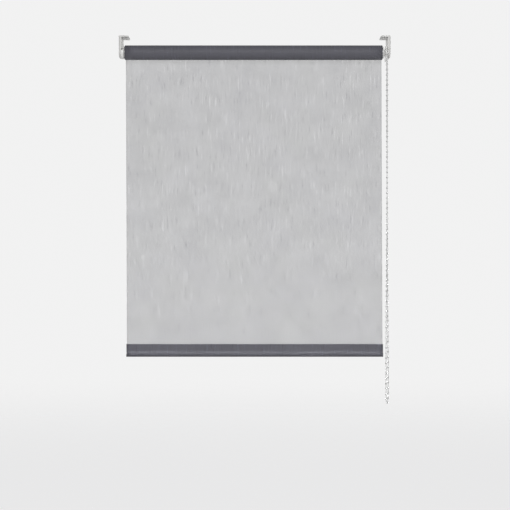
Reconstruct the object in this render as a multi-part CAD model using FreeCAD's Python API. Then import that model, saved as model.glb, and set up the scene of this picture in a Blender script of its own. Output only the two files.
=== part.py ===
import FreeCAD, Part
import math
import os

# Roller blind with a bead-chain drive, millimetres.
# +X runs along the roller towards the chain, +Y towards the window, +Z up.
# The origin is the middle of the four ceiling screw slots, on the ceiling plane.

V = FreeCAD.Vector
X_DIR = V(1, 0, 0)
Y_DIR = V(0, 1, 0)
Z_DIR = V(0, 0, 1)

# ---- overall sizes -------------------------------------------------------------------------
cloth_width = 600.0
bracket_overhang = 16.0        # each bracket's outer face beyond the cloth
drop_length = 681.0            # roller axis to the top edge of the bottom bar
cloth_length = 1900.0          # whole cloth, hem included
cloth_thickness = 0.345
cloth_lean = 2.5               # the roll sits this much further left than the bar

# ---- brackets ------------------------------------------------------------------------------
flange_depth = 50.0
flange_width = 22.0
flange_thickness = 3.0
flange_corner_r = 3.0
neck_thickness = 6.5
disc_thickness = 4.0           # bracket wall behind the idle cup and the chain drive
disc_r = 13.8
disc_edge_r = 3.6
neck_rear_drop = 16.0          # height of the neck's upright rear edge
axis_drop = 38.0               # ceiling to roller axis
slot_half_width = 2.25
slot_length = 8.0
slot_spacing_y = 28.0
slot_inset = 14.5              # slot centre from the bracket's outer face

# ---- roller --------------------------------------------------------------------------------
tube_r = 12.5
tube_wall = 1.0
tape_thickness = 0.2
tape_width = 10.0
tape_end_gap = 2.5
plug_clearance = 0.1           # plug ribs inside the tube
plug_rib_height = 0.6
plug_rib_count = 8
plug_rib_width = 1.6
idle_flange_lip = 0.5          # idle flange beyond the tube
idle_flange_thickness = 1.3
drive_flange_lip = 1.0         # drive flange beyond the tube
drive_flange_thickness = 3.0
plug_depth = 36.0              # how far each plug reaches into the tube
running_fit = 0.06             # radial clearance of every turning or sliding fit
end_gap = 1.0                  # idle flange to idle cup

# ---- idle end ------------------------------------------------------------------------------
pin_r = 3.0
pin_reach = 5.5                # how deep the pin stands in the cup
pin_nose = 0.8
pin_collar_r = 4.8
pin_collar_thickness = 2.5
pin_stem_r = 2.0
pin_stem_length = 16.0
pin_cavity_r = 5.3
plug_front_wall = 4.0
spring_wire_r = 0.45
spring_mean_r = 3.6
spring_turns = 8
spring_seat_gap = 0.1
back_cap_thickness = 4.0
cup_r = 15.0
cup_wall = 2.4
cup_face = 1.8
cup_hub_r = 6.5
cup_floor = 1.0
cup_edge_r = 2.0
cup_post_r = 2.6
cup_peg_r = 1.6
cup_peg_length = 3.0
cup_post_offset = 9.4
cup_window_width = 5.0
cup_window_low = 7.5           # centre of the window's round end above the axis
cup_window_top = 14.5

# ---- chain drive ---------------------------------------------------------------------------
bead_pitch = 12.0
bead_r = 2.25
chain_cord_r = 0.6
bead_bore_clearance = 0.05
pocket_count = 5
pocket_phase = -23.0           # degrees, lowest seated bead on the room side
seated_beads = 4
pocket_clearance = 0.12
sprocket_cheek = 0.5           # sprocket wall on each side of a bead
sprocket_rise = 1.2            # sprocket rim beyond the beads' centres
sprocket_gap = 0.3             # sprocket to bracket
cord_groove_half = 0.9
cord_groove_r = 7.4
hub_clearance = 0.7            # hub inside the guard's hole
finger_gap = 0.84              # finger and stop clear of the clutch springs
finger_wall = 1.3
finger_length = 24.0
finger_half_angle = 50.0
core_r = 5.0
core_key_step = 0.5            # key's flats beyond the core
core_key_depth = 1.8
key_clearance = 0.1
core_pilot_depth = 14.0
clip_thickness = 1.0
clip_rim = 2.0                 # clip beyond the core
clip_groove_depth = 0.9
clip_clearance = 0.1
clip_end = 3.0                 # core beyond the clip
clip_gap = 0.6                 # clip to plug
screw_r = 2.0
screw_clearance = 0.1
screw_head_r = 3.8
screw_head_height = 1.9
screw_length = 14.0
drive_slot_half_length = 2.2   # cross-shaped slot for the screwdriver
drive_slot_half_width = 0.4
drive_slot_depth = 1.1
finger_clearance = 0.5         # finger inside the plug
drive_end_wall = 6.0
clutch_wire_r = 0.5
clutch_turns = 5
clutch_pitch = 1.12
clutch_count = 2
clutch_spacing = 10.0
clutch_tang_overlap = 0.7      # tangs across the finger's edge
clutch_tang_angle = 60.0       # tangs stand this far each side of straight down
plug_stop_half_angle = 60.0    # the plug's inner rib, centred on straight up
guard_wall = 1.3
guard_gap = 0.3                # guard's side wall to the sprocket
bead_guard_gap = 0.95          # seated beads to the guard's arch
guard_arch_wall = 1.4
guard_arch_half_angle = 50.0
guard_tail_half = 11.5
guard_tail_drop = 21.0
guard_tail_r = 5.0
recess_clearance = 0.3         # cup and guard inside the bracket's round recess
chain_stub = 3.0               # cord below each end bead on the sprocket

# ---- hanging bead chain, down the front strand, round the bottom and up the strand behind ---
# (x, y, z) of its bends from the sprocket's centre
chain_bends = [
    (-0.64, -9.18, -238.0),
    (-1.62, -8.34, -478.0),
    (-2.60, -7.14, -636.7),
    (-3.04, -5.97, -721.7),
    (-3.09, -5.14, -766.7),
    (-2.94, -4.53, -790.7),
    (-2.67, -4.11, -803.7),
    (-2.40, -3.69, -810.7),
    (-2.17, -3.34, -814.37),
    (-0.90, -1.38, -816.7),
    (0.90, 1.38, -816.7),
    (2.17, 3.34, -814.37),
    (2.40, 3.69, -810.7),
    (2.67, 4.11, -803.7),
    (2.94, 4.53, -790.7),
    (3.09, 5.14, -766.7),
    (3.04, 5.97, -721.7),
    (2.60, 7.14, -636.7),
    (1.62, 8.34, -478.0),
    (0.64, 9.18, -238.0),
]

# ---- bottom bar ----------------------------------------------------------------------------
bar_height = 30.0
rail_tube_r = 5.55
rail_tube_wall = 1.2
rail_web = 2.1
rail_short = 0.5               # rail stops this far inside each end of the hem
hem_wall = 0.4
hem_clearance = 0.05
cap_thickness = 1.0
cap_proud = 0.2
cap_spigot_length = 12.0
cap_spigot_clearance = 0.1
cloth_gap = 0.3                # hanging cloth to the roll and to the bar

# ---- places that follow from the sizes -----------------------------------------------------
axis_y = disc_r + 1.2 - flange_depth / 2
axis_z = -axis_drop
half_blind = cloth_width / 2 + bracket_overhang
roll_left = -cloth_width / 2 - cloth_lean
roll_right = cloth_width / 2 - cloth_lean
tube_bore_r = tube_r - tube_wall
idle_flange_r = tube_r + idle_flange_lip
drive_flange_r = tube_r + drive_flange_lip
disc_face = half_blind - disc_thickness
neck_face = half_blind - neck_thickness
bead_circle_r = bead_pitch / (2 * math.sin(math.pi / pocket_count))
bead_x = disc_face - sprocket_gap - sprocket_cheek - bead_r
sprocket_out = bead_x + bead_r + sprocket_cheek
sprocket_in = bead_x - bead_r - sprocket_cheek
sprocket_r = bead_circle_r + sprocket_rise
finger_r = core_r + running_fit + 2 * clutch_wire_r + finger_gap
hub_r = finger_r + finger_wall
clutch_tang_r = finger_r + clutch_tang_overlap
drive_cavity_r = hub_r + finger_clearance
core_key_flats = 2 * (core_r + core_key_step)
clip_r = core_r + clip_rim
clip_neck_r = core_r - clip_groove_depth
guard_face = sprocket_in - guard_gap
guard_r = bead_circle_r + bead_r + bead_guard_gap + guard_arch_wall
pocket_recess_r = max(guard_r, cup_r) + recess_clearance
idle_face = roll_left - idle_flange_thickness
cup_face_x = idle_face - end_gap
pin_tip = cup_face_x - pin_reach
collar_x = idle_face + plug_front_wall
back_cap_x = roll_left + plug_depth - back_cap_thickness
drive_face = roll_right + drive_flange_thickness
plug_end = roll_right - plug_depth
clip_x = plug_end - clip_gap
core_end = clip_x - clip_thickness - clip_end
rolled_length = cloth_length - drop_length - 2 * bar_height
roll_inner_r = tube_r + tape_thickness + 0.05
roll_r = math.sqrt(roll_inner_r ** 2 + rolled_length * cloth_thickness / math.pi)
cloth_y = axis_y + roll_r + cloth_gap + cloth_thickness / 2
bar_top = axis_z - drop_length
bar_tube_z = bar_top - bar_height + rail_tube_r + hem_wall + hem_clearance


# ---- helpers -------------------------------------------------------------------------------
def cyl_x(x0, x1, r, dy=0.0, dz=0.0):
    """Cylinder along X between two stations, placed from the roller axis."""
    base = V(min(x0, x1), axis_y + dy, axis_z + dz)
    return Part.makeCylinder(r, abs(x1 - x0), base, X_DIR)


def ring_x(x0, x1, r_out, r_in):
    """Ring about the roller axis."""
    return cyl_x(x0, x1, r_out).cut(cyl_x(min(x0, x1) - 1, max(x0, x1) + 1, r_in))


def box(x0, x1, y0, y1, z0, z1):
    """Box between two corners."""
    low = V(min(x0, x1), min(y0, y1), min(z0, z1))
    return Part.makeBox(abs(x1 - x0), abs(y1 - y0), abs(z1 - z0), low)


def polar(r, degrees, x=0.0):
    """Point about the roller axis: 0 degrees is the room side, 90 is straight up."""
    a = math.radians(degrees)
    return V(x, axis_y - r * math.cos(a), axis_z + r * math.sin(a))


def sector_x(x0, x1, r_out, r_in, start, end):
    """Part of a ring about the roller axis between two angles."""
    mid = (start + end) / 2
    lines = [
        Part.LineSegment(polar(r_in, start, x0), polar(r_out, start, x0)),
        Part.Arc(polar(r_out, start, x0), polar(r_out, mid, x0), polar(r_out, end, x0)),
        Part.LineSegment(polar(r_out, end, x0), polar(r_in, end, x0)),
        Part.Arc(polar(r_in, end, x0), polar(r_in, mid, x0), polar(r_in, start, x0)),
    ]
    wire = Part.Wire([line.toShape() for line in lines])
    return Part.Face(wire).extrude(V(x1 - x0, 0, 0))


def tangent_point(point, side):
    """Where a line from a (y, z) point touches the bracket's lower circle."""
    dy = point[0] - axis_y
    dz = point[1] - axis_z
    distance = math.hypot(dy, dz)
    angle = math.atan2(dz, dy) + side * math.acos(disc_r / distance)
    return axis_y + disc_r * math.cos(angle), axis_z + disc_r * math.sin(angle)


def coil(r, pitch, turns, wire_r, x0, start_angle):
    """Helical wire about the roller axis, from x0 towards +X."""
    helix = Part.makeHelix(pitch, pitch * turns, r)
    profile = Part.Wire([Part.Circle(V(r, 0, 0), V(0, 1, 0), wire_r).toShape()])
    wire = Part.Wire(helix).makePipeShell([profile], True, True)
    wire.rotate(V(0, 0, 0), Z_DIR, start_angle)
    wire.rotate(V(0, 0, 0), Y_DIR, 90)
    wire.translate(V(x0, axis_y, axis_z))
    return wire


def smooth(shape):
    """Merge the faces that booleans leave split."""
    return shape.removeSplitter()


# ---- brackets ------------------------------------------------------------------------------
def bracket_blank():
    """Ceiling flange, neck and round lower end, as on the chain side."""
    half_depth = flange_depth / 2
    front = (-half_depth, -flange_thickness)
    rear = (half_depth, -neck_rear_drop)
    front_touch = tangent_point(front, 1)
    rear_touch = tangent_point(rear, -1)
    x0 = neck_face
    outline = [
        Part.LineSegment(V(x0, front[0], 0), V(x0, half_depth, 0)),
        Part.LineSegment(V(x0, half_depth, 0), V(x0, *rear)),
        Part.LineSegment(V(x0, *rear), V(x0, *rear_touch)),
        Part.Arc(V(x0, *rear_touch), V(x0, axis_y, axis_z - disc_r), V(x0, *front_touch)),
        Part.LineSegment(V(x0, *front_touch), V(x0, *front)),
        Part.LineSegment(V(x0, *front), V(x0, front[0], 0)),
    ]
    neck = Part.Face(Part.Wire([e.toShape() for e in outline])).extrude(V(neck_thickness, 0, 0))
    rounded = [e for e in neck.Edges
               if abs(e.BoundBox.XMin - half_blind) < 0.01
               and abs(e.BoundBox.XMax - half_blind) < 0.01
               and e.BoundBox.ZMax < -0.01]
    neck = neck.makeFillet(disc_edge_r, rounded)
    flange = box(half_blind - flange_width, half_blind, -half_depth, half_depth, -flange_thickness, 0)
    corners = [e for e in flange.Edges
               if e.BoundBox.ZLength > flange_thickness - 0.1 and e.BoundBox.XMax < neck_face]
    flange = flange.makeFillet(flange_corner_r, corners)
    body = neck.fuse(flange)
    body = body.cut(cyl_x(neck_face - 1, disc_face, pocket_recess_r))
    for sign in (-1, 1):
        body = body.cut(ceiling_slot(sign * slot_spacing_y / 2))
    return smooth(body)


def ceiling_slot(y):
    """Slotted screw hole through the flange, long way along X."""
    centre = half_blind - slot_inset
    half = slot_length / 2 - slot_half_width
    cut = box(centre - half, centre + half, y - slot_half_width, y + slot_half_width,
              -flange_thickness - 1, 1)
    for sign in (-1, 1):
        base = V(centre + sign * half, y, -flange_thickness - 1)
        cut = cut.fuse(Part.makeCylinder(slot_half_width, flange_thickness + 2, base))
    return cut


def to_left(shape):
    """Mirror a shape to the idle side."""
    return shape.mirror(V(0, 0, 0), X_DIR)


def key_prism(x0, x1, flats):
    """Six-sided prism on the roller axis, given across its flats."""
    r = flats / math.sqrt(3)
    corners = [polar(r, 60 * i, x0) for i in range(6)]
    return Part.Face(Part.makePolygon(corners + corners[:1])).extrude(V(x1 - x0, 0, 0))


def right_bracket():
    """Bracket with the key recess and countersunk hole for the drive core."""
    body = bracket_blank()
    body = body.cut(key_prism(disc_face, disc_face + core_key_depth + key_clearance,
                              core_key_flats + 2 * key_clearance))
    body = body.cut(cyl_x(disc_face, half_blind + 1, screw_r + screw_clearance))
    sink = Part.makeCone(screw_r + screw_clearance, screw_head_r + screw_clearance, screw_head_height,
                         V(half_blind - screw_head_height, axis_y, axis_z), X_DIR)
    return body.cut(sink)


def left_bracket():
    """Bracket with two holes for the idle cup's pegs."""
    body = to_left(bracket_blank())
    for sign in (-1, 1):
        hole = cyl_x(-disc_face - cup_peg_length - 0.2, -disc_face + 1, cup_peg_r + running_fit,
                     sign * cup_post_offset)
        body = body.cut(hole)
    return body


# ---- idle end ------------------------------------------------------------------------------
def idle_cup():
    """Round cup with a central bearing, pegged to the bracket, with a window in front."""
    back = -disc_face
    shell = cyl_x(back, cup_face_x, cup_r)
    rims = [e for e in shell.Edges if e.BoundBox.XMax < back + 0.01 and e.Length > cup_r]
    shell = shell.makeFillet(cup_edge_r, rims)
    shell = shell.cut(cyl_x(back - 1, cup_face_x - cup_face, cup_r - cup_wall))
    shell = shell.fuse(cyl_x(back, cup_face_x - cup_face / 2, cup_hub_r))
    for sign in (-1, 1):
        dy = sign * cup_post_offset
        shell = shell.fuse(cyl_x(back, cup_face_x - cup_face / 2, cup_post_r, dy))
        shell = shell.fuse(cyl_x(back - cup_peg_length, back + 1, cup_peg_r, dy))
    shell = shell.cut(cyl_x(back + cup_floor, cup_face_x + 1, pin_r + running_fit))
    middle = (back + cup_face_x - cup_face) / 2
    half = cup_window_width / 2
    front = axis_y - cup_r - 1
    inside = axis_y - cup_hub_r
    low = axis_z + cup_window_low
    window = box(middle - half, middle + half, front, inside, low, axis_z + cup_window_top)
    window = window.fuse(Part.makeCylinder(half, inside - front, V(middle, front, low), Y_DIR))
    return smooth(shell.cut(window))


def idle_pin():
    """Spring pin: round nose, collar and the stem that guides the spring."""
    pin = cyl_x(pin_tip, collar_x + 0.1, pin_r)
    nose = [e for e in pin.Edges if e.BoundBox.XMax < pin_tip + 0.01]
    pin = pin.makeFillet(pin_nose, nose)
    pin = pin.fuse(cyl_x(collar_x + 0.1, collar_x + 0.1 + pin_collar_thickness, pin_collar_r))
    stem_start = collar_x + pin_collar_thickness
    return smooth(pin.fuse(cyl_x(stem_start, stem_start + pin_stem_length, pin_stem_r)))


def ribbed_plug(x0, x1, flange_x, flange_r):
    """Plug body with crush ribs between x0 and x1, and a flange from the body to flange_x."""
    core = tube_bore_r - plug_clearance - plug_rib_height
    body = cyl_x(x0, x1, core)
    for i in range(plug_rib_count):
        rib = box(x0, x1, axis_y - plug_rib_width / 2, axis_y + plug_rib_width / 2,
                  axis_z + core - 1, axis_z + core + plug_rib_height)
        rib.rotate(V(0, axis_y, axis_z), X_DIR, 360.0 * i / plug_rib_count)
        body = body.fuse(rib)
    near = x0 if abs(flange_x - x0) < abs(flange_x - x1) else x1
    return body.fuse(cyl_x(near, flange_x, flange_r))


def idle_plug():
    """Plug in the left end of the tube, hollow for the pin and its spring."""
    end = roll_left + plug_depth
    body = ribbed_plug(roll_left, end, idle_face, idle_flange_r)
    body = body.cut(cyl_x(idle_face - 1, end + 1, pin_r + running_fit))
    return smooth(body.cut(cyl_x(collar_x, end + 1, pin_cavity_r)))


def idle_plug_cap():
    """Cap that closes the idle plug behind the spring."""
    return cyl_x(back_cap_x, back_cap_x + back_cap_thickness, pin_cavity_r - 0.02)


def idle_spring():
    """Compression spring between the pin's collar and the cap."""
    start = collar_x + 0.1 + pin_collar_thickness + spring_wire_r + spring_seat_gap
    end = back_cap_x - spring_wire_r - spring_seat_gap
    return coil(spring_mean_r, (end - start) / spring_turns, spring_turns, spring_wire_r, start, 0)


# ---- chain drive ---------------------------------------------------------------------------
def drive_core():
    """Fixed axle of the drive: keyed to the bracket, grooved for the clip, bored for the screw."""
    core = cyl_x(core_end, disc_face, core_r)
    core = core.fuse(key_prism(disc_face, disc_face + core_key_depth, core_key_flats))
    groove = ring_x(clip_x - clip_thickness - clip_clearance, clip_x + clip_clearance,
                    core_r + 1, clip_neck_r)
    core = core.cut(groove)
    pilot_end = disc_face + core_key_depth - core_pilot_depth
    return smooth(core.cut(cyl_x(pilot_end, half_blind, screw_r + screw_clearance)))


def core_screw():
    """Countersunk screw from the bracket's outer face into the core."""
    neck_x = half_blind - screw_head_height
    head = Part.makeCone(screw_r, screw_head_r, screw_head_height, V(neck_x, axis_y, axis_z), X_DIR)
    screw = head.fuse(cyl_x(half_blind - screw_length, neck_x, screw_r))
    for turn in (0, 90):
        slot = box(half_blind - drive_slot_depth, half_blind + 1,
                   axis_y - drive_slot_half_length, axis_y + drive_slot_half_length,
                   axis_z - drive_slot_half_width, axis_z + drive_slot_half_width)
        slot.rotate(V(0, axis_y, axis_z), X_DIR, turn)
        screw = screw.cut(slot)
    return screw


def retaining_clip():
    """Open spring clip in the core's groove that keeps the drive plug on."""
    clip = ring_x(clip_x - clip_thickness, clip_x, clip_r, clip_neck_r + clip_clearance)
    gap = clip_neck_r * 0.8
    return clip.cut(box(clip_x - 2, clip_x + 1, axis_y - gap, axis_y + gap,
                        axis_z - clip_r - 1, axis_z))


def pocket_angles(count):
    """Angles of neighbouring pockets, from the lowest seated bead in front."""
    return [pocket_phase + 360.0 / pocket_count * i for i in range(count)]


def sprocket():
    """Pocket wheel with its hub and the finger that works the clutch springs."""
    wheel = ring_x(sprocket_in, sprocket_out, sprocket_r, core_r + running_fit)
    groove = ring_x(bead_x - cord_groove_half, bead_x + cord_groove_half,
                    sprocket_r + 1, cord_groove_r)
    wheel = wheel.cut(groove)
    for angle in pocket_angles(pocket_count):
        centre = polar(bead_circle_r, angle, bead_x)
        outward = polar(1, angle).sub(polar(0, angle))
        r = bead_r + pocket_clearance
        wheel = wheel.cut(Part.makeSphere(r, centre))
        wheel = wheel.cut(Part.makeCylinder(r, sprocket_r, centre, outward))
    hub_end = (drive_face + guard_face - guard_wall) / 2
    wheel = wheel.fuse(ring_x(hub_end, sprocket_in + 0.5, hub_r, core_r + running_fit))
    finger = sector_x(hub_end - finger_length, hub_end + 0.5, hub_r, finger_r,
                      270 - finger_half_angle, 270 + finger_half_angle)
    return smooth(wheel.fuse(finger))


def rod(start, end, r):
    """Round rod between two points."""
    along = end.sub(start)
    return Part.makeCylinder(r, along.Length, start, along)


def seated_centres():
    """Centres of the beads that sit in pockets, front strand first."""
    return [polar(bead_circle_r, angle, bead_x) for angle in pocket_angles(seated_beads)]


def stub_end(centre):
    """Where the seated chain hands over to the hanging chain, below an end bead."""
    return centre.sub(V(0, 0, chain_stub))


def chain_on_sprocket():
    """Beads seated in the pockets, the cord between them and a stub at each end."""
    centres = seated_centres()
    chain = Part.makeSphere(bead_r, centres[0])
    for i in range(1, seated_beads):
        chain = chain.fuse(Part.makeSphere(bead_r, centres[i]))
        chain = chain.fuse(rod(centres[i - 1], centres[i], chain_cord_r))
    for centre in (centres[0], centres[-1]):
        chain = chain.fuse(rod(centre, stub_end(centre), chain_cord_r))
    return chain


def clutch_springs():
    """Wrap springs on the core, each with two tangs that stand out to the finger."""
    mean_r = core_r + running_fit + clutch_wire_r
    sweep = clutch_turns + (360 - 2 * clutch_tang_angle) / 360.0
    first = drive_face - drive_flange_thickness - clutch_wire_r
    springs = []
    for i in range(clutch_count):
        end = first - i * clutch_spacing
        start = end - clutch_pitch * sweep
        spring = coil(mean_r, clutch_pitch, sweep, clutch_wire_r, start, clutch_tang_angle)
        for x, angle in ((start, 270 + clutch_tang_angle), (end, 270 - clutch_tang_angle)):
            tang = rod(polar(mean_r, angle, x), polar(clutch_tang_r, angle, x), clutch_wire_r)
            spring = spring.fuse(tang)
        springs.append(spring)
    return Part.makeCompound(springs)


def drive_plug():
    """Plug in the right end of the tube, turning on the core, with a rib for the springs."""
    body = ribbed_plug(plug_end, roll_right, drive_face, drive_flange_r)
    body = body.cut(cyl_x(plug_end + drive_end_wall, drive_face + 1, drive_cavity_r))
    body = body.cut(cyl_x(plug_end - 1, drive_face + 1, core_r + running_fit))
    stop = sector_x(plug_end + drive_end_wall - 0.5, roll_right, drive_cavity_r + 0.5, finger_r,
                    90 - plug_stop_half_angle, 90 + plug_stop_half_angle)
    return smooth(body.fuse(stop))


def chain_guard():
    """Side wall and top arch that keep the chain on the sprocket."""
    x0 = guard_face - guard_wall
    wall = cyl_x(x0, guard_face, guard_r)
    tail = box(x0, guard_face, axis_y - guard_tail_half, axis_y + guard_tail_half,
               axis_z - guard_tail_drop, axis_z)
    feet = [e for e in tail.Edges
            if e.BoundBox.ZMax < axis_z - guard_tail_drop + 0.01 and e.BoundBox.XLength > guard_wall - 0.1
            or e.BoundBox.XLength > guard_wall - 0.1 and e.BoundBox.ZMin < axis_z - 1]
    tail = tail.makeFillet(guard_tail_r, feet)
    arch = sector_x(guard_face - 0.5, disc_face, guard_r, guard_r - guard_arch_wall,
                    90 - guard_arch_half_angle, 90 + guard_arch_half_angle)
    body = wall.fuse(tail).fuse(arch)
    return smooth(body.cut(cyl_x(x0 - 1, guard_face + 1, hub_r + hub_clearance)))


# ---- hanging chain -------------------------------------------------------------------------
def route_edges(points, name):
    """Straight runs joined by tangent arcs, as large as the two runs allow."""
    edges = []
    start = points[0]
    for i in range(1, len(points) - 1):
        before = points[i].sub(points[i - 1])
        after = points[i + 1].sub(points[i])
        turn = before.getAngle(after)
        reach = 0.45 * min(before.Length, after.Length)
        radius = reach / math.tan(turn / 2)
        print("%s point %d: turn %.2f degrees, radius %.1f" % (name, i, math.degrees(turn), radius))
        before.normalize()
        after.normalize()
        arc_start = points[i].sub(V(before).multiply(reach))
        arc_end = points[i].add(V(after).multiply(reach))
        inward = V(after).sub(before)
        inward.normalize()
        middle = points[i].add(inward.multiply(radius / math.cos(turn / 2) - radius))
        edges.append(Part.LineSegment(start, arc_start).toShape())
        edges.append(Part.Arc(arc_start, middle, arc_end).toShape())
        start = arc_end
    edges.append(Part.LineSegment(start, points[-1]).toShape())
    return edges


def along(edges, distance):
    """Point and direction at a distance along a row of edges."""
    for edge in edges:
        if distance <= edge.Length:
            at = edge.getParameterByLength(distance)
            return edge.valueAt(at), edge.tangentAt(at)
        distance -= edge.Length
    last = edges[-1]
    return last.valueAt(last.LastParameter), last.tangentAt(last.LastParameter)


def chain_edges():
    """Centre line of the hanging chain."""
    centres = seated_centres()
    points = [V(bead_x + x, axis_y + y, axis_z + z) for x, y, z in chain_bends]
    points.insert(0, stub_end(centres[0]))
    points.append(stub_end(centres[-1]))
    return route_edges(points, "pull_chain_cord")


def pull_chain_cord(edges):
    """Cord of the hanging chain."""
    path = Part.Wire(edges)
    start = edges[0].valueAt(edges[0].FirstParameter)
    profile = Part.Wire([Part.Circle(start, edges[0].tangentAt(0), chain_cord_r).toShape()])
    tube = path.makePipeShell([profile], True, True)
    length = sum(edge.Length for edge in edges)
    section = math.pi * chain_cord_r ** 2
    print("pull_chain_cord length %.1f, volume %.1f, section x length %.1f"
          % (length, tube.Volume, section * length))
    return tube


def pull_chain_beads(edges):
    """Beads of the hanging chain, one pitch apart, moulded onto the cord."""
    first = bead_pitch - chain_stub
    free = sum(edge.Length for edge in edges) - 2 * first
    gaps = round(free / bead_pitch)
    spacing = free / gaps
    beads = []
    for i in range(gaps + 1):
        centre, direction = along(edges, first + i * spacing)
        reach = V(direction).multiply(2 * bead_r)
        bore = rod(centre.sub(reach), centre.add(reach), chain_cord_r + bead_bore_clearance)
        beads.append(Part.makeSphere(bead_r, centre).cut(bore))
    print("pull_chain_beads %d beads, %.3f apart" % (len(beads), spacing))
    return Part.makeCompound(beads)


# ---- roller and cloth ----------------------------------------------------------------------
def roller_tube():
    return ring_x(roll_left, roll_right, tube_r, tube_bore_r)


def cloth_tape():
    """Double-sided tape that holds the cloth to the tube."""
    half = math.degrees(tape_width / 2 / tube_r)
    return sector_x(roll_left + tape_end_gap, roll_right - tape_end_gap, tube_r + tape_thickness, tube_r,
                    90 - half, 90 + half)


def cloth_roll():
    return ring_x(roll_left, roll_right, roll_r, roll_inner_r)


def cloth_drop():
    """Hanging cloth, which leaves the roll on the window side."""
    y0 = cloth_y - cloth_thickness / 2
    low = bar_top + cloth_gap
    corners = [
        V(roll_left, y0, axis_z),
        V(roll_right, y0, axis_z),
        V(cloth_width / 2, y0, low),
        V(-cloth_width / 2, y0, low),
    ]
    return Part.Face(Part.makePolygon(corners + corners[:1])).extrude(V(0, cloth_thickness, 0))


# ---- bottom bar ----------------------------------------------------------------------------
def bar_section(x0, x1, web, tube, top):
    """Flat web above a round tube, drawn at full size."""
    web_box = box(x0, x1, cloth_y - web / 2, cloth_y + web / 2, bar_tube_z, top)
    base = V(x0, cloth_y, bar_tube_z)
    return web_box.fuse(Part.makeCylinder(tube, x1 - x0, base, X_DIR))


def bottom_rail():
    """Extruded rail: a flat web with a tube along its lower edge."""
    end = cloth_width / 2 - rail_short
    rail = bar_section(-end, end, rail_web, rail_tube_r, bar_top - hem_wall - hem_clearance)
    base = V(-end - 1, cloth_y, bar_tube_z)
    bore = Part.makeCylinder(rail_tube_r - rail_tube_wall, 2 * end + 2, base, X_DIR)
    return smooth(rail.cut(bore))


def hem_pocket():
    """Cloth sleeve round the rail."""
    end = cloth_width / 2
    grow = hem_wall + hem_clearance
    outer = bar_section(-end, end, rail_web + 2 * grow, rail_tube_r + grow, bar_top)
    inner = bar_section(-end - 1, end + 1, rail_web + 2 * hem_clearance, rail_tube_r + hem_clearance,
                        bar_top - hem_wall)
    return smooth(outer.cut(inner))


def rail_end_cap(side):
    """Cap over one end of the rail and its hem, with a spigot in the rail's tube."""
    end = cloth_width / 2
    grow = hem_wall + hem_clearance + cap_proud
    plate = bar_section(end, end + cap_thickness, rail_web + 2 * grow, rail_tube_r + grow, bar_top)
    spigot_r = rail_tube_r - rail_tube_wall - cap_spigot_clearance
    base = V(end - cap_spigot_length, cloth_y, bar_tube_z)
    cap = plate.fuse(Part.makeCylinder(spigot_r, cap_spigot_length + 0.5, base, X_DIR))
    return smooth(cap) if side > 0 else to_left(smooth(cap))


# ---- export --------------------------------------------------------------------------------
def main():
    os.makedirs("parts", exist_ok=True)
    chain = chain_edges()
    nodes = {
        "left_bracket": left_bracket(),
        "right_bracket": right_bracket(),
        "idle_cup": idle_cup(),
        "idle_pin": idle_pin(),
        "idle_spring": idle_spring(),
        "idle_plug": idle_plug(),
        "idle_plug_cap": idle_plug_cap(),
        "roller_tube": roller_tube(),
        "cloth_tape": cloth_tape(),
        "cloth_roll": cloth_roll(),
        "cloth_drop": cloth_drop(),
        "drive_plug": drive_plug(),
        "clutch_springs": clutch_springs(),
        "drive_core": drive_core(),
        "core_screw": core_screw(),
        "retaining_clip": retaining_clip(),
        "sprocket": sprocket(),
        "chain_on_sprocket": chain_on_sprocket(),
        "chain_guard": chain_guard(),
        "pull_chain_cord": pull_chain_cord(chain),
        "pull_chain_beads": pull_chain_beads(chain),
        "hem_pocket": hem_pocket(),
        "bottom_rail": bottom_rail(),
        "left_end_cap": rail_end_cap(-1),
        "right_end_cap": rail_end_cap(1),
    }
    for name, shape in nodes.items():
        print("%s: %d solids, volume %.1f, valid %s"
              % (name, len(shape.Solids), shape.Volume, shape.isValid()))
        shape.exportStep("parts/%s.step" % name)
    print("roll radius %.2f" % roll_r)


main()
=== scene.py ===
import math
import random

import bmesh
import bpy
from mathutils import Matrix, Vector, noise


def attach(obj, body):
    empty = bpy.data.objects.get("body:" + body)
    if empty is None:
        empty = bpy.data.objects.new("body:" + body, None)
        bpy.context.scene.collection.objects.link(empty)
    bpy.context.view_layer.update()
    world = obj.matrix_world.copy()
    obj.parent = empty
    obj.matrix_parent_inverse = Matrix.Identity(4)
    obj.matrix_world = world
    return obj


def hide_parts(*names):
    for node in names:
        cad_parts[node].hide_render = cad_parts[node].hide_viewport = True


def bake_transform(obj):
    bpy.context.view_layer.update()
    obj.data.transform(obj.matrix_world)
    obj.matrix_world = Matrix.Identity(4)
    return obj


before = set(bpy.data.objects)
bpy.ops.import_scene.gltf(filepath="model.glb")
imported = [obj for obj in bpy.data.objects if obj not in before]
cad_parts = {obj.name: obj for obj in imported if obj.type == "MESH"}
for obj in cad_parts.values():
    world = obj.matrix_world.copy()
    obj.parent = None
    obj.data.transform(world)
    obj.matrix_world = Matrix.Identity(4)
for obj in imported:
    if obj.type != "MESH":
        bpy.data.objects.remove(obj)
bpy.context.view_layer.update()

random.seed(4)
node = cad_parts

# ---- sizes, in the CAD's frame and in mm unless a comment says metres ----------------------
MM = 0.001
AXIS_Y, AXIS_Z = -10.0, -38.0  # the roller's axis, which runs along x

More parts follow.
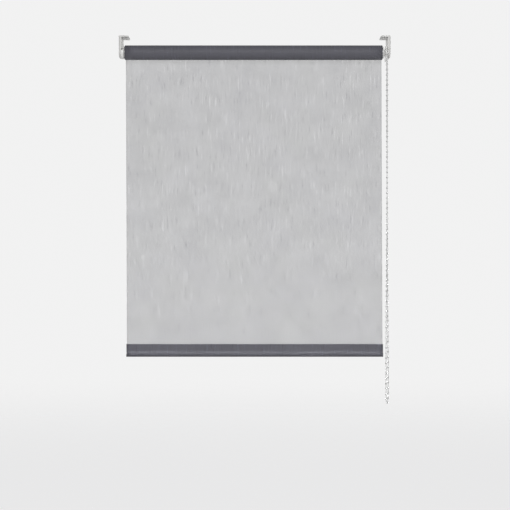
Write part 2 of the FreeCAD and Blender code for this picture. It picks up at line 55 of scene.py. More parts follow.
CLOTH_WIDTH = 600.0
HALF_CLOTH = CLOTH_WIDTH / 2
ROLL_LEFT = -302.5  # the cloth's left edge on the roll. At the hem the cloth is centred on x = 0
ROLL_R = 17.02
ROLL_INNER_R = 12.75
LAYER = 0.345  # one turn of cloth to the next
LAYER_GAP = 0.03  # the part of it that is air, so that the turns don't touch
ROLL_FRAY = 0.18  # how far the turns stand out of line at the roll's ends
WRAP = math.radians(60)  # stretch of the roll that the top of the hanging cloth still covers
DROP_Y = 7.4925  # the hanging cloth's plane
ONTO_PLANE = 120.0  # drop in which the cloth comes from the back of the roll to that plane
BAR_TOP = -719.0
LONG_WAVES, SHORT_WAVES = 1.25, 0.35  # depth of the hanging cloth's waves
CURL, CURL_REACH = 0.9, 14.0  # its side edges curl back, over this far in
FRAY, FRAY_REACH = 0.12, 3.0  # and wander sideways, over this far in
EDGE_REACH = 1.6  # width of its darker side edge

HEM_WEB = 1.5  # half the thickness of the hem's flat part, cloth included
HEM_TUBE_R = 6.0
HEM_TUBE_Z = -743.0
HEM_THICKNESS = 0.36  # of the hem's cloth, a little more than one layer
HEM_WELD = 2.9  # from the hem's top down to the pressed line of its weld
FLAT_SWELL, ALL_SWELL = 0.16, 0.05  # unevenness of the hem's flat faces, and of all of it

SPRING_START, SPRING_END = -296.64, -271.06
SPRING_R = 3.6
SPRING_WIRE_R = 0.44
SPRING_GAP = 0.06  # between the closed end turns

BEAD_X = 308.95  # the plane of the sprocket and of the chain's upper ends
BEAD_R = 2.25
BEAD_COLLAR = [(2.04, 0.98), (2.22, 0.90), (2.42, 0.92), (2.60, 0.84), (2.62, 0.50)]  # height, radius
BEAD_SIDES = 20
MOULD_LINE = 1.012  # radius at the bead's mould line, as a share of the radius beside it
SPROCKET_POCKETS = 5
FIRST_SEATED_ANGLE = -23  # degrees above level, at the front of the sprocket
SEATED_BEADS = 4
SEATED_TURN = 0.7  # radians that each seated bead is turned about the cord beyond the one before
CORD_DIP = 0.14  # how far the cord dips between two seated beads, as a share of the beads' circle
CORD_R = 0.6 * MM  # metres, and so are the next two
BEAD_PITCH = 12.0 * MM
STUB = 3.0 * MM  # cord below the first and last bead on the sprocket, up to the hanging loop
chain_route = [  # metres
    (0.30895, -0.019397, -0.044989),
    (0.30831, -0.01918, -0.2760),
    (0.30733, -0.01834, -0.5160),
    (0.30635, -0.01714, -0.6747),
    (0.30591, -0.01597, -0.7597),
    (0.30586, -0.01514, -0.8047),
    (0.30601, -0.01453, -0.8287),
    (0.30628, -0.01411, -0.8417),
    (0.30655, -0.01369, -0.8487),
    (0.30678, -0.01334, -0.85237),
    (0.30805, -0.01138, -0.8547),
    (0.30985, -0.00862, -0.8547),
    (0.31112, -0.00666, -0.85237),
    (0.31135, -0.00631, -0.8487),
    (0.31162, -0.00589, -0.8417),
    (0.31189, -0.00547, -0.8287),
    (0.31204, -0.00486, -0.8047),
    (0.31199, -0.00403, -0.7597),
    (0.31155, -0.00286, -0.6747),
    (0.31057, -0.00166, -0.5160),
    (0.30959, -0.00082, -0.2760),
    (0.30895, -0.000054, -0.043296),
]

# ---- camera, in metres ---------------------------------------------------------------------
CAMERA_PLACE = (0.0007, -3.002, -0.510)
CAMERA_LENS, CAMERA_SENSOR = 90.49, 36.0


def make_camera():
    data = bpy.data.cameras.new("camera")
    data.lens = CAMERA_LENS
    data.sensor_width = CAMERA_SENSOR
    data.clip_end = 100.0
    camera = bpy.data.objects.new("camera", data)
    camera.location = CAMERA_PLACE
    camera.rotation_euler = (math.pi / 2, 0, 0)
    bpy.context.scene.collection.objects.link(camera)
    bpy.context.scene.camera = camera


make_camera()
bpy.context.scene.view_settings.view_transform = "Standard"


# ---- materials: helpers --------------------------------------------------------------------
class Nodes:
    """The node tree of a material or world, with short ways to add and join nodes."""

    def __init__(self, owner, output):
        owner.use_nodes = True
        self.owner = owner
        self.tree = owner.node_tree
        self.tree.nodes.clear()
        self.out = self.add(output)

    def add(self, kind, settings=None, **inputs):
        made = self.tree.nodes.new("ShaderNode" + kind)
        for key, value in (settings or {}).items():
            setattr(made, key, value)
        for key, value in inputs.items():
            self.put(made.inputs[key.replace("_", " ")], value)
        return made

    def put(self, socket, value):
        if isinstance(value, bpy.types.NodeSocket):
            self.tree.links.new(value, socket)
        else:
            socket.default_value = value

    def two(self, kind, settings, first, second):
        """Result of a node whose first two inputs take these values."""
        made = self.add(kind, settings)
        self.put(made.inputs[0], first)
        self.put(made.inputs[1], second)
        return made.outputs[0]

    def math(self, operation, a, b=0.0):
        return self.two("Math", {"operation": operation}, a, b)

    def total(self, *values):
        summed = values[0]
        for value in values[1:]:
            summed = self.math("ADD", summed, value)
        return summed

    def scaled(self, vector, x, y, z):
        return self.two("VectorMath", {"operation": "MULTIPLY"}, vector, (x, y, z))

    def multiplied(self, first, second):
        """Product of two colours."""
        made = self.add("MixRGB", {"blend_type": "MULTIPLY"}, Fac=1.0)
        self.put(made.inputs["Color1"], first)
        self.put(made.inputs["Color2"], second)
        return made.outputs[0]

    def mixed(self, factor, first, second):
        """Two shaders: the first at factor 0 and the second at factor 1."""
        made = self.add("MixShader", Fac=factor)
        self.put(made.inputs[1], first)
        self.put(made.inputs[2], second)
        return made.outputs[0]

    def noise(self, vector, scale, detail, rough):
        made = self.add("TexNoise", Vector=vector, Scale=scale, Detail=detail, Roughness=rough)
        return made.outputs["Fac"]

    def remap(self, value, low, high, to_low, to_high):
        made = self.add("MapRange", {"interpolation_type": "SMOOTHSTEP"}, Value=value)
        for socket, number in zip(made.inputs[1:5], (low, high, to_low, to_high)):
            socket.default_value = number
        return made.outputs[0]

    def ramp(self, factor, *stops):
        """Colour ramp. Each stop is a place and a colour."""
        made = self.add("ValToRGB", Fac=factor)
        elements = made.color_ramp.elements
        while len(elements) < len(stops):
            elements.new(0.5)
        for element, (place, colour) in zip(elements, stops):
            element.position = place
            element.color = (*colour, 1.0)
        return made.outputs[0]

    def bump(self, height, distance, strength):
        return self.add("Bump", Height=height, Distance=distance, Strength=strength).outputs[0]

    def finish(self, shader):
        self.tree.links.new(shader, self.out.inputs["Surface"])
        return self.owner


def new_material(name):
    return Nodes(bpy.data.materials.new(name), "OutputMaterial")


def times(values, factor):
    return tuple(value * factor for value in values)


# ---- materials: plastic, metal and cord ----------------------------------------------------
def plastic(name, colour, rough, grain=0.00045, depth=0.00002):
    """Moulded plastic: fine spark-eroded grain, flow mottling and a little handling dirt."""
    n = new_material(name)
    place = n.add("TexCoord").outputs["Object"]
    fine = n.noise(place, 1 / grain, 3.0, 0.6)
    flow = n.noise(n.scaled(place, 60, 110, 60), 1.0, 4.0, 0.6)
    smudge = n.noise(place, 170.0, 3.0, 0.65)
    tone = n.total(n.math("MULTIPLY", flow, 0.7), n.math("MULTIPLY", smudge, 0.3))
    base = n.ramp(tone, (0.30, times(colour, 0.90)), (0.52, colour), (0.75, times(colour, 1.03)))
    surface = n.add("BsdfPrincipled", Base_Color=base, IOR=1.49,
                    Roughness=n.remap(smudge, 0.3, 0.7, rough * 0.8, rough * 1.2),
                    Normal=n.bump(fine, depth, 0.6))
    return n.finish(surface.outputs[0])


def metal(name, colour, rough, along=(3, 900, 900)):
    """Drawn or turned metal: fine lines along one direction, dulled in patches."""
    n = new_material(name)
    place = n.add("TexCoord").outputs["Object"]
    lines = n.noise(n.scaled(place, *along), 1.0, 4.0, 0.65)
    patches = n.noise(place, 90.0, 3.0, 0.6)
    tone = n.total(n.math("MULTIPLY", lines, 0.6), n.math("MULTIPLY", patches, 0.4))
    base = n.ramp(patches, (0.3, times(colour, 0.82)), (0.6, colour))
    surface = n.add("BsdfPrincipled", Base_Color=base, Metallic=1.0,
                    Roughness=n.remap(tone, 0.3, 0.7, rough * 0.75, rough * 1.3),
                    Normal=n.bump(lines, 0.00001, 0.7))
    return n.finish(surface.outputs[0])


def cord_fibre():
    """Twisted polyester cord."""
    n = new_material("chain_cord")
    place = n.add("TexCoord").outputs["Object"]
    twist = n.noise(n.scaled(place, 2600, 2600, 900), 1.0, 2.0, 0.6)
    base = n.ramp(twist, (0.35, (0.42, 0.42, 0.42)), (0.65, (0.66, 0.66, 0.66)))
    surface = n.add("BsdfPrincipled", Base_Color=base, Sheen_Weight=0.2,
                    Roughness=n.remap(twist, 0.3, 0.7, 0.9, 0.65),
                    Normal=n.bump(twist, 0.00006, 0.8))
    return n.finish(surface.outputs[0])


# ---- materials: cloth ----------------------------------------------------------------------
THREAD = 0.52 * MM  # metres from one yarn to the next
GLOW_SHARE = 0.6  # of the yarn's light that comes through it, and isn't reflected
OPEN_SHARE = 0.34  # of the cloth that is open between the threads
OPEN_RANGE = 0.14  # how far the pattern takes that share up and down


def woven(n, flat, colour, gloss, rough, edge=None):
    """Plain weave with slubs, each drawn out one way. flat is metres across and along the cloth.

    Gives the surface, the pattern's tone (about 0.5) and its normal. The tone darkens where edge is 1.
    """
    wander = n.math("SUBTRACT", n.noise(flat, 22.0, 2.0, 0.5), 0.5)
    bend = n.add("CombineXYZ", X=n.math("MULTIPLY", wander, 0.004)).outputs[0]
    drawn = n.two("VectorMath", {"operation": "ADD"}, flat, bend)
    slub = n.noise(n.scaled(drawn, 300, 24, 1), 1.0, 3.0, 0.6)
    thin_slub = n.noise(n.scaled(drawn, 900, 70, 1), 1.0, 2.0, 0.6)
    weft = n.noise(n.scaled(drawn, 34, 620, 1), 1.0, 3.0, 0.6)
    fleck = n.noise(n.scaled(drawn, 130, 560, 1), 1.0, 2.0, 0.5)
    mottle = n.noise(flat, 17.0, 3.0, 0.55)
    axes = n.add("SeparateXYZ", Vector=drawn)
    warp_wave, weft_wave = (n.math("SINE", n.math("MULTIPLY", axes.outputs[axis], 2 * math.pi / THREAD))
                            for axis in "XY")
    weave = n.math("MULTIPLY", warp_wave, weft_wave)

    def about_zero(value, weight):
        return n.math("MULTIPLY", n.math("SUBTRACT", value, 0.5), weight)

    def weighted(value, weight):
        return n.math("MULTIPLY", value, weight)

    tone = n.total(
        about_zero(slub, 0.20),
        about_zero(thin_slub, 0.12),
        about_zero(weft, 0.26),
        about_zero(mottle, 0.34),
        weighted(n.remap(slub, 0.61, 0.66, 0.0, 1.0), 0.34),
        weighted(n.remap(slub, 0.33, 0.38, 1.0, 0.0), -0.27),
        weighted(n.remap(fleck, 0.67, 0.71, 0.0, 1.0), 0.38),
        weighted(weave, 0.06),
        0.5)
    if edge is not None:
        tone = n.total(tone, weighted(edge, -0.22))

    relief = n.total(weighted(weave, 0.35), weighted(slub, 1.2), weighted(weft, 0.7))
    normal = n.bump(relief, 0.00012, 0.55)
    bluer = (colour[0] * 0.97, colour[1] * 0.96, colour[2] * 1.05)
    base = n.ramp(tone, (0.1, times(colour, 0.74)), (0.5, colour), (0.9, times(bluer, 1.28)))
    surface = n.add("BsdfPrincipled", Base_Color=base, Normal=normal,
                    Roughness=n.remap(tone, 0.2, 0.8, rough * 1.1, rough * 0.92),
                    Sheen_Weight=0.02, Sheen_Roughness=0.45, Specular_IOR_Level=gloss)
    return surface.outputs[0], tone, normal


def closed_cloth(name, colour):
    """The cloth where it is wound or doubled, so that no light comes through."""
    n = new_material(name)
    surface, _, _ = woven(n, n.add("UVMap", {"uv_map": "cloth"}).outputs[0], colour, gloss=0.30, rough=0.55)
    return n.finish(surface)


def open_cloth(name, colour):
    """A single layer of the cloth: light glows through the yarn and passes between the threads."""
    n = new_material(name)
    place = n.add("SeparateXYZ", Vector=n.add("TexCoord").outputs["Object"])
    flat = n.add("CombineXYZ", X=place.outputs["X"], Y=place.outputs["Z"]).outputs[0]
    edge = n.add("Attribute", {"attribute_name": "edge"}).outputs["Fac"]
    surface, tone, normal = woven(n, flat, colour, gloss=0.2, rough=0.85, edge=edge)
    hue = n.ramp(n.noise(flat, 11.0, 2.0, 0.5), (0.35, (0.985, 0.985, 1.0)), (0.65, (0.995, 1.0, 0.985)))
    glow = n.ramp(tone, (0.1, (0.55, 0.545, 0.57)), (0.5, (0.72, 0.72, 0.725)), (0.9, (0.89, 0.89, 0.885)))
    lit = n.add("BsdfTranslucent", Color=n.multiplied(glow, hue), Normal=normal).outputs[0]
    yarn = n.mixed(GLOW_SHARE, surface, lit)
    clear = n.add("BsdfTransparent", Color=(0.98, 0.98, 0.985, 1.0)).outputs[0]
    gaps = n.remap(tone, 0.1, 0.9, OPEN_SHARE - OPEN_RANGE, OPEN_SHARE + OPEN_RANGE)
    return n.finish(n.mixed(gaps, yarn, clear))


# ---- materials: which piece has which ------------------------------------------------------
# Painted shade: the brackets are white plastic like the idle cup, and this colour is greyed to stand in for
# the shade over their flanges and necks.
bracket_painted_shade = plastic("bracket_plastic", (0.77, 0.765, 0.75), 0.45)
bright = plastic("idle_plastic", (0.95, 0.95, 0.935), 0.38)
drive = plastic("drive_plastic", (0.93, 0.93, 0.92), 0.40)
cap = plastic("cap_plastic", (0.115, 0.115, 0.13), 0.5, 0.0006, 0.00004)
bead_white = plastic("chain_bead", (0.76, 0.765, 0.76), 0.40, 0.0004, 0.000006)
tape = plastic("tape", (0.74, 0.73, 0.66), 0.6, 0.0008, 0.00003)
steel = metal("pin_metal", (0.62, 0.62, 0.63), 0.28)
spring = metal("spring_steel", (0.50, 0.50, 0.52), 0.35, (600, 600, 600))
screw = metal("screw_steel", (0.66, 0.66, 0.67), 0.3, (400, 400, 400))
tube = metal("tube_metal", (0.72, 0.72, 0.73), 0.38)
rail = metal("rail_metal", (0.74, 0.74, 0.76), 0.35)
# Painted shade: the roll and the hem are the same fabric, and the roll's copy is made darker to stand in for
# the shade round the roll.
rolled_cloth_painted_shade = closed_cloth("cloth_rolled", (0.122, 0.1215, 0.142))
hem_cloth = closed_cloth("hem_cloth", (0.133, 0.1325, 0.154))
hanging_cloth = open_cloth("cloth_hanging", (0.30, 0.30, 0.32))
fibre = cord_fibre()


def give(names, material):
    """Put a material on CAD pieces that are seen as they are."""
    for name in names:
        data = node[name].data
        data.materials.clear()
        data.materials.append(material)


give(["left_bracket", "right_bracket"], bracket_painted_shade)
give(["idle_cup", "idle_plug", "idle_plug_cap"], bright)
give(["drive_core", "sprocket", "drive_plug", "chain_guard"], drive)
give(["idle_pin"], steel)
give(["clutch_springs", "retaining_clip"], spring)
give(["core_screw"], screw)
give(["roller_tube"], tube)
give(["cloth_tape"], tape)
give(["bottom_rail"], rail)
give(["left_end_cap", "right_end_cap"], cap)


# ---- mesh helpers --------------------------------------------------------------------------
def new_piece(name, mesh, material):
    mesh.materials.append(material)
    for face in mesh.polygons:
        face.use_smooth = True
    piece = bpy.data.objects.new(name, mesh)
    bpy.context.scene.collection.objects.link(piece)
    return piece


def solid_mesh(name, verts, faces):
    """Mesh of a closed piece, with its faces turned outwards."""
    mesh = bpy.data.meshes.new(name)
    mesh.from_pydata([tuple(v) for v in verts], [], faces)
    work = bmesh.new()
    work.from_mesh(mesh)
    bmesh.ops.recalc_face_normals(work, faces=work.faces)
    work.to_mesh(mesh)
    work.free()
    return mesh


def grid_faces(rows, columns, first=0, loop=False):
    """Quads over rows x columns of points stored row by row. loop joins the last row to the first."""
    faces = []
    for i in range(rows if loop else rows - 1):
        below = (i + 1) % rows
        for j in range(columns - 1):
            a = first + i * columns + j
            b = first + below * columns + j
            faces.append((a, a + 1, b + 1, b))
    return faces


def ring_faces(first, rings, sides):
    """Quads between rings of points stored ring by ring, each ring closed."""
    faces = []
    for i in range(rings - 1):
        for k in range(sides):
            a = first + i * sides + k
            b = first + i * sides + (k + 1) % sides
            faces.append((a, b, b + sides, a + sides))
    return faces


def round_the_circle(sides, turn=0.0):
    """Cosine and sine of angles all the way round."""
    angles = [turn + 2 * math.pi * k / sides for k in range(sides)]
    return [(math.cos(angle), math.sin(angle)) for angle in angles]


def tube_mesh(name, stations, radius):
    """Round tube, closed at both ends. A station is a centre and two directions square to the tube there."""
    sides = 10
    verts = []
    for centre, u, v in stations:
        verts += [centre + (u * c + v * s) * radius for c, s in round_the_circle(sides)]
    last = len(verts) - sides
    ends = [tuple(range(sides)), tuple(range(last, last + sides))]
    return solid_mesh(name, verts, ring_faces(0, len(stations), sides) + ends)


def uv_by_point(mesh, uv):
    layer = mesh.uv_layers.new(name="cloth")
    for loop in mesh.loops:
        layer.data[loop.index].uv = uv[loop.vertex_index]


def ease(t):
    t = min(max(t, 0.0), 1.0)
    return t * t * (3 - 2 * t)


# ---- pull chain ----------------------------------------------------------------------------
def route_curve(name, points, radius):
    data = bpy.data.curves.new(name, "CURVE")
    data.dimensions = "3D"
    data.resolution_u = 24
    spline = data.splines.new("NURBS")
    spline.points.add(len(points) - 1)
    for point, place in zip(spline.points, points):
        point.co = (*place, 1.0)
    spline.order_u = 3
    spline.use_endpoint_u = True
    data.bevel_depth = radius
    data.bevel_resolution = 3
    data.use_fill_caps = True
    curve = bpy.data.objects.new(name, data)
    bpy.context.scene.collection.objects.link(curve)
    return curve


def line_of(curve):
    """Points of the curve's own line, in order."""
    bare = curve.data.copy()
    bare.bevel_depth = 0.0
    bare.resolution_u = 64
    holder = bpy.data.objects.new("line", bare)
    bpy.context.scene.collection.objects.link(holder)
    mesh = bpy.data.meshes.new_from_object(holder)
    points = [v.co.copy() for v in mesh.vertices]
    bpy.data.objects.remove(holder)
    bpy.data.meshes.remove(mesh)
    bpy.data.curves.remove(bare)
    return points


def at_distances(points, distances):
    """Place and direction at each distance along a row of points. distances rise."""
    found = []
    passed = 0.0
    i = 0
    for distance in distances:
        while i < len(points) - 2 and passed + (points[i + 1] - points[i]).length < distance:
            passed += (points[i + 1] - points[i]).length
            i += 1
        step = points[i + 1] - points[i]
        found.append((points[i] + step * ((distance - passed) / step.length), step.normalized()))
    return found


def bead_profile():
    """Height along the cord and radius, from one end of a bead to the other: collar, ball, collar."""
    angles = [math.radians(degrees) for degrees in (0, 15, 30, 44, 56)]
    half = [(BEAD_R * math.sin(angle), BEAD_R * math.cos(angle)) for angle in angles] + BEAD_COLLAR
    return [(-height, radius) for height, radius in half[:0:-1]] + half


def add_bead(verts, faces, centre, direction, turn):
    """One moulded bead round the cord, with a collar at each end and a mould line."""
    side = direction.orthogonal().normalized()
    across = direction.cross(side)
    profile = bead_profile()
    faces += ring_faces(len(verts), len(profile), BEAD_SIDES)
    for height, radius in profile:
        for k, (c, s) in enumerate(round_the_circle(BEAD_SIDES, turn)):
            r = radius * (MOULD_LINE if k % (BEAD_SIDES // 2) == 0 else 1.0)
            verts.append(centre + (direction * height + (side * c + across * s) * r) * MM)


def pull_chain():
    """The hanging loop. Its first and last beads are one pitch from those on the sprocket."""
    cord = route_curve("pull_cord", chain_route, CORD_R)
    cord.data.materials.append(fibre)
    line = line_of(cord)
    length = sum((b - a).length for a, b in zip(line, line[1:]))
    first = BEAD_PITCH - STUB
    gaps = round((length - 2 * first) / BEAD_PITCH)
    distances = [first + (length - 2 * first) * i / gaps for i in range(gaps + 1)]
    verts, faces = [], []
    for centre, direction in at_distances(line, distances):
        add_bead(verts, faces, centre, direction, random.uniform(0, math.pi))
    beads = new_piece("pull_beads", solid_mesh("pull_beads", verts, faces), bead_white)
    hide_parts("pull_chain_cord")
    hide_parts("pull_chain_beads")
    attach(cord, "root")
    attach(beads, "root")


def seated_chain():
    """The chain over the top of the sprocket."""
    circle = BEAD_PITCH / (2 * math.sin(math.pi / SPROCKET_POCKETS))
    step = 360 / SPROCKET_POCKETS
    angles = [FIRST_SEATED_ANGLE + step * i for i in range(SEATED_BEADS)]
    down = Vector((0, 0, -STUB))

    def place(degrees, share=1.0):
        """Place at an angle round the sprocket, on a share of the beads' circle."""
        angle, r = math.radians(degrees), circle * share
        return Vector((BEAD_X * MM, AXIS_Y * MM - r * math.cos(angle), AXIS_Z * MM + r * math.sin(angle)))

    verts, faces = [], []
    for i, angle in enumerate(angles):
        direction = (place(angle + 1) - place(angle - 1)).normalized()
        if i == 0:  # the end beads lean half way towards the strands
            direction = (direction - down.normalized()).normalized()
        elif i == SEATED_BEADS - 1:
            direction = (direction + down.normalized()).normalized()
        add_bead(verts, faces, place(angle), direction, SEATED_TURN * i)
    beads = new_piece("seated_beads", solid_mesh("seated_beads", verts, faces), bead_white)

    points = [place(angles[0]) + down, place(angles[0]) + down * 0.4]
    for angle in angles[:-1]:
        for quarter, dip in enumerate((0, CORD_DIP / 2, CORD_DIP, CORD_DIP / 2)):
            points.append(place(angle + step * quarter / 4, 1 - dip))
    points += [place(angles[-1]), place(angles[-1]) + down * 0.4, place(angles[-1]) + down]
    side = Vector((1, 0, 0))
    stations = []
    for before, point, after in zip(points[:1] + points, points, points[1:] + points[-1:]):
        along = (after - before).normalized()
        stations.append((point, side, along.cross(side).normalized()))
    cord = new_piece("seated_cord", tube_mesh("seated_cord", stations, CORD_R), fibre)
    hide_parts("chain_on_sprocket")
    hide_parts("chain_on_sprocket")
    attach(beads, "sprocket_body")
    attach(cord, "sprocket_body")


pull_chain()
seated_chain()


# ---- idle end's spring ---------------------------------------------------------------------
def idle_spring_piece():
    """Coil with closed end turns. It shortens as the pin goes in."""
    closed, active, per_turn = 1.0, 7.0, 28
    closed_pitch = 2 * SPRING_WIRE_R + SPRING_GAP
    pitch = (SPRING_END - SPRING_START - 2 * closed * closed_pitch) / active
    side = Vector((1, 0, 0))
    stations = []
    for i in range(int((2 * closed + active) * per_turn) + 1):
        turns = i / per_turn
        x = SPRING_START + closed_pitch * (min(turns, closed) + max(turns - closed - active, 0.0))
        x += pitch * min(max(turns - closed, 0.0), active)
        angle = 2 * math.pi * turns
        out = Vector((0, math.cos(angle), math.sin(angle)))
        stations.append(((Vector((x, AXIS_Y, AXIS_Z)) + out * SPRING_R) * MM, out, side))
    piece = new_piece("pin_spring", tube_mesh("pin_spring", stations, SPRING_WIRE_R * MM), spring)
    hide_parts("idle_spring")
    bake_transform(piece)


idle_spring_piece()


# ---- cloth ---------------------------------------------------------------------------------
def uneven(x, y, z):
    """Smooth noise, about -1 to 1."""
    return noise.noise(Vector((x, y, z)))


def roll_ripple(x, angle):
    """Small unevenness of the wound cloth, in mm."""
    return 0.07 * uneven(x * 0.021, 1.6 * math.cos(angle), 1.6 * math.sin(angle) + 4.0)


def cloth_roll_piece():
    """The wound cloth as one spiral layer, thick, so that its ends show the turns."""
    thickness = LAYER - LAYER_GAP
    turns = (ROLL_R - ROLL_INNER_R) / LAYER - 1.0
    per_turn, columns = 80, 26
    steps = int(turns * per_turn)
    sections = [(WRAP + 2 * math.pi * i / per_turn, ROLL_R - LAYER / 2 - LAYER * i / per_turn,
                 ROLL_R * 2 * math.pi * i / per_turn) for i in range(steps + 1)]
    outside = [(angle, middle + thickness / 2, run) for angle, middle, run in sections]
    inside = [(angle, middle - thickness / 2, run) for angle, middle, run in sections]
    verts, uv = [], []
    for angle, radius, run in outside + inside[::-1]:
        for j in range(columns):
            x = ROLL_LEFT + CLOTH_WIDTH * j / (columns - 1)
            fray = ROLL_FRAY * uneven(run * 0.05, 3.0 * j, 0.0) if j in (0, columns - 1) else 0.0
            r = radius + roll_ripple(x, angle)
            place = (x + fray, AXIS_Y + r * math.cos(angle), AXIS_Z + r * math.sin(angle))
            verts.append(times(place, MM))
            uv.append((x * MM, run * MM))
    rows = 2 * (steps + 1)
    faces = grid_faces(rows, columns, loop=True)
    for i in range(steps):
        for j in (0, columns - 1):
            a, b = i * columns + j, (i + 1) * columns + j
            c, d = (rows - 2 - i) * columns + j, (rows - 1 - i) * columns + j
            faces.append((a, b, c, d) if j else (d, c, b, a))
    mesh = solid_mesh("cloth_roll_wound", verts, faces)
    uv_by_point(mesh, uv)
    piece = new_piece("cloth_roll_wound", mesh, rolled_cloth_painted_shade)
    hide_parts("cloth_roll")
    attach(piece, "roller")


def hem_profile(inwards):
    """The hem's outline, as (out from the middle, height), moved inwards by a distance."""
    web = HEM_WEB - inwards
    tube_r = HEM_TUBE_R - inwards
    top = BAR_TOP - inwards
    half = [(0.12, top), (web - 0.55, top - 0.02), (web - 0.16, top - 0.16), (web - 0.02, top - 0.55),
            (web, top - HEM_WELD + 0.5), (web - 0.04, top - HEM_WELD), (web, top - HEM_WELD - 0.5)]
    for out, height in ((0.0, 17.0), (0.02, 12.0), (0.10, 8.4), (0.6, 6.4), (1.6, 5.0)):
        half.append((web + out, HEM_TUBE_Z + height))
    for degrees in range(56, -91, -9):
        angle = math.radians(degrees)
        half.append((tube_r * math.cos(angle), HEM_TUBE_Z + tube_r * math.sin(angle)))
    return half + [(-y, z) for y, z in half[-2::-1]]


def hem_piece():
    """Cloth sleeve round the rail: a welded band on top, flat faces and a round lower edge."""
    columns = 62
    outlines = [hem_profile(0.0), hem_profile(HEM_THICKNESS)]
    verts, uv = [], []
    for outline in outlines:
        run = 0.0
        for i, (y, z) in enumerate(outline):
            run += math.dist(outline[i - 1], (y, z)) if i else 0.0
            flatness = ease((z - HEM_TUBE_Z - HEM_TUBE_R) / 6.0) * ease((BAR_TOP - HEM_WELD - 0.6 - z) / 3.0)
            for j in range(columns):
                x = -HALF_CLOTH + CLOTH_WIDTH * j / (columns - 1)
                swell = FLAT_SWELL * flatness * uneven(x * 0.03, z * 0.05, 11.0 + (y > 0))
                swell += ALL_SWELL * uneven(x * 0.06, z * 0.2, 15.0 + (y > 0))
                if abs(y) <= 0.3:  # the weld's edge and the lowest line stay straight
                    swell = 0.0
                out = y + swell if y > 0 else y - swell
                verts.append(times((x, DROP_Y - out, z), MM))
                uv.append((x * MM, (BAR_TOP - run) * MM))
    rows = len(outlines[0])
    inner = rows * columns
    faces = grid_faces(rows, columns)
    faces += [face[::-1] for face in grid_faces(rows, columns, inner)]
    for j in (0, columns - 1):
        for i in range(rows - 1):
            a, b = i * columns + j, (i + 1) * columns + j
            faces.append((a, b, b + inner, a + inner))
    for i in (0, rows - 1):
        for j in range(columns - 1):
            a = i * columns + j
            faces.append((a, a + 1, a + 1 + inner, a + inner))
    mesh = solid_mesh("hem_sleeve", verts, faces)
    uv_by_point(mesh, uv)
    piece = new_piece("hem_sleeve", mesh, hem_cloth)
    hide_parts("hem_pocket")
    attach(piece, "bottom_bar")


def wrap_point(across, angle):
    """Point of the hanging cloth that still lies on the roll, in mm."""
    x = ROLL_LEFT + across
    sunk = 0.06 * angle / WRAP  # its top edge sinks into the roll, so that no step shows
    r = ROLL_R - sunk + roll_ripple(x, angle)
    return x, AXIS_Y + r * math.cos(angle), AXIS_Z + r * math.sin(angle)


def drop_point(across, z):
    """Point of the hanging cloth below the axis, in mm. It waves a little, and its edges curl back."""
    share = (AXIS_Z - z) / (AXIS_Z - BAR_TOP)
    free = math.sin(math.pi * min(max(share, 0.0), 1.0)) ** 0.6  # 0 where it is held, at roll and hem
    rim = min(across, CLOTH_WIDTH - across)
    x = ROLL_LEFT + (-HALF_CLOTH - ROLL_LEFT) * share + across
    on_roll = 1 - ease(share * 12)  # the roll's ripple dies out in the first twelfth of the drop
    y = AXIS_Y + ROLL_R + roll_ripple(x, 0.0) * on_roll
    y += (DROP_Y - AXIS_Y - ROLL_R) * ease((AXIS_Z - z) / ONTO_PLANE)
    y += free * LONG_WAVES * uneven(x * 0.0075, z * 0.0024, 2.0)
    y += free * SHORT_WAVES * uneven(x * 0.021, z * 0.0035, 7.0)
    y += free * CURL * math.exp(-rim / CURL_REACH)
    x += FRAY * uneven(0.0, z * 0.09, across) * math.exp(-rim / FRAY_REACH)
    return x, y, z


def hanging_cloth_piece():
    """One open sheet from the back of the roll down to the hem. Its attribute edge is 1 on its side edges."""
    near_edge = [0.0, 1.2, 3.0]
    margin, spans = near_edge[-1], 132
    columns = near_edge + [margin + (CLOTH_WIDTH - 2 * margin) * i / spans for i in range(1, spans)]
    columns += [CLOTH_WIDTH - across for across in reversed(near_edge)]
    wrap_rows, drop_rows = 10, 176
    drop = BAR_TOP - 0.2 - AXIS_Z
    rows = []
    for i in range(wrap_rows):
        angle = WRAP * (1 - i / wrap_rows)
        rows.append(([wrap_point(across, angle) for across in columns], angle * ROLL_R))
    for i in range(drop_rows + 1):
        z = AXIS_Z + drop * i / drop_rows
        rows.append(([drop_point(across, z) for across in columns], z - AXIS_Z))
    verts, uv, edge = [], [], []
    for points, height in rows:
        for across, (x, y, z) in zip(columns, points):
            verts.append((x * MM, y * MM, z * MM))
            uv.append((x * MM, height * MM))
            edge.append(max(0.0, 1.0 - min(across, CLOTH_WIDTH - across) / EDGE_REACH))
    mesh = bpy.data.meshes.new("hanging_cloth")
    mesh.from_pydata(verts, [], grid_faces(len(rows), len(columns)))
    mesh.attributes.new("edge", "FLOAT", "POINT").data.foreach_set("value", edge)
    uv_by_point(mesh, uv)
    piece = new_piece("hanging_cloth", mesh, hanging_cloth)
    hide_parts("cloth_drop")
    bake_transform(piece)


cloth_roll_piece()
hem_piece()
hanging_cloth_piece()

# ---- floor, surroundings and light, in metres ----------------------------------------------
FLOOR_Z = -1.9
FLOOR_SIDES = 96
FLOOR_RINGS = (3.0, 6.0, 9.0, 12.0)
FLOOR_FADE = (5.0, 11.5)  # it is whole up to the first radius, and gone at the second
# Grey levels of the surroundings, from straight down (0) to straight up (1), as the camera sees them,
SEEN_LEVELS = ((0.0, 0.70), (0.36, 0.86), (0.46, 0.885), (0.60, 0.885), (0.75, 0.87), (1.0, 0.80))
# and as they light the object, by height times by depth, from behind the camera (0) to the far side (1)
LIGHT_BY_HEIGHT = ((0.0, 0.90), (0.30, 0.90), (0.46, 1.0), (0.60, 1.0), (0.75, 0.40), (1.0, 0.20))
LIGHT_BY_DEPTH = ((0.0, 0.14), (0.30, 0.20), (0.5, 0.92), (0.62, 0.92), (1.0, 0.90))


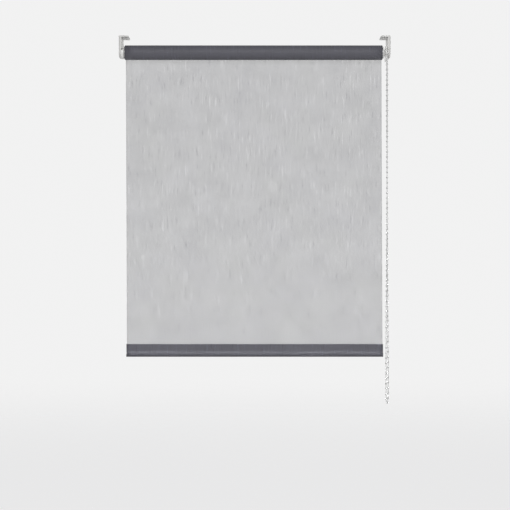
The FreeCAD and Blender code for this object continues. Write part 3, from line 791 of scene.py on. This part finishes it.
def floor_material():
    """Pale grey that takes shadows, glows a little and fades out into the backdrop."""
    n = new_material("floor")
    radius = n.add("VectorMath", {"operation": "LENGTH"})
    n.put(radius.inputs[0], n.add("TexCoord").outputs["Object"])
    fade = n.remap(radius.outputs["Value"], *FLOOR_FADE, 0.0, 1.0)
    matt = n.add("BsdfDiffuse", Color=(0.34, 0.34, 0.34, 1.0)).outputs[0]
    glow = n.add("Emission", Color=(0.9, 0.9, 0.905, 1.0), Strength=0.80).outputs[0]
    pale = n.two("AddShader", None, matt, glow)
    return n.finish(n.mixed(fade, pale, n.add("BsdfTransparent").outputs[0]))


def floor():
    verts = [(0.0, 0.0, 0.0)]
    for r in FLOOR_RINGS:
        verts += [(r * c, r * s, 0.0) for c, s in round_the_circle(FLOOR_SIDES)]
    faces = [(0, 1 + k, 1 + (k + 1) % FLOOR_SIDES) for k in range(FLOOR_SIDES)]
    faces += [face[::-1] for face in ring_faces(1, len(FLOOR_RINGS), FLOOR_SIDES)]
    mesh = bpy.data.meshes.new("floor")
    mesh.from_pydata(verts, [], faces)
    piece = new_piece("floor", mesh, floor_material())
    piece.location = (0, 0, FLOOR_Z)
    piece.visible_diffuse = False


def surroundings():
    """Pale all round to look at. As light it is bright behind the cloth and soft elsewhere."""
    world = bpy.data.worlds.new("studio")
    bpy.context.scene.world = world
    n = Nodes(world, "OutputWorld")

    def levels(direction, stops):
        share = n.total(n.math("MULTIPLY", direction, 0.5), 0.5)
        return n.ramp(share, *[(place, (level,) * 3) for place, level in stops])

    split = n.add("SeparateXYZ", Vector=n.add("TexCoord").outputs["Generated"])
    seen = levels(split.outputs["Z"], SEEN_LEVELS)
    by_height = levels(split.outputs["Z"], LIGHT_BY_HEIGHT)
    light = n.multiplied(by_height, levels(split.outputs["Y"], LIGHT_BY_DEPTH))
    camera_ray = n.add("LightPath").outputs["Is Camera Ray"]
    colour = n.add("MixRGB", Fac=camera_ray, Color1=light, Color2=seen).outputs[0]
    n.finish(n.add("Background", Color=colour).outputs[0])


def softbox(name, location, target, width, height, power, spread=180.0):
    data = bpy.data.lights.new(name, "AREA")
    data.spread = math.radians(spread)
    data.shape = "RECTANGLE"
    data.size = width
    data.size_y = height
    data.energy = power
    light = bpy.data.objects.new(name, data)
    light.location = location
    aim = Vector(target) - Vector(location)
    light.rotation_euler = aim.to_track_quat("-Z", "Y").to_euler()
    light.visible_camera = False
    bpy.context.scene.collection.objects.link(light)


floor()
surroundings()
softbox("key", (0.10, -1.7, 0.45), (0, 0, -0.25), 2.4, 0.45, 25.0)
softbox("low_strip", (0, -0.9, 0.5), (0, 0, -0.76), 1.3, 0.12, 0.75, 26.0)
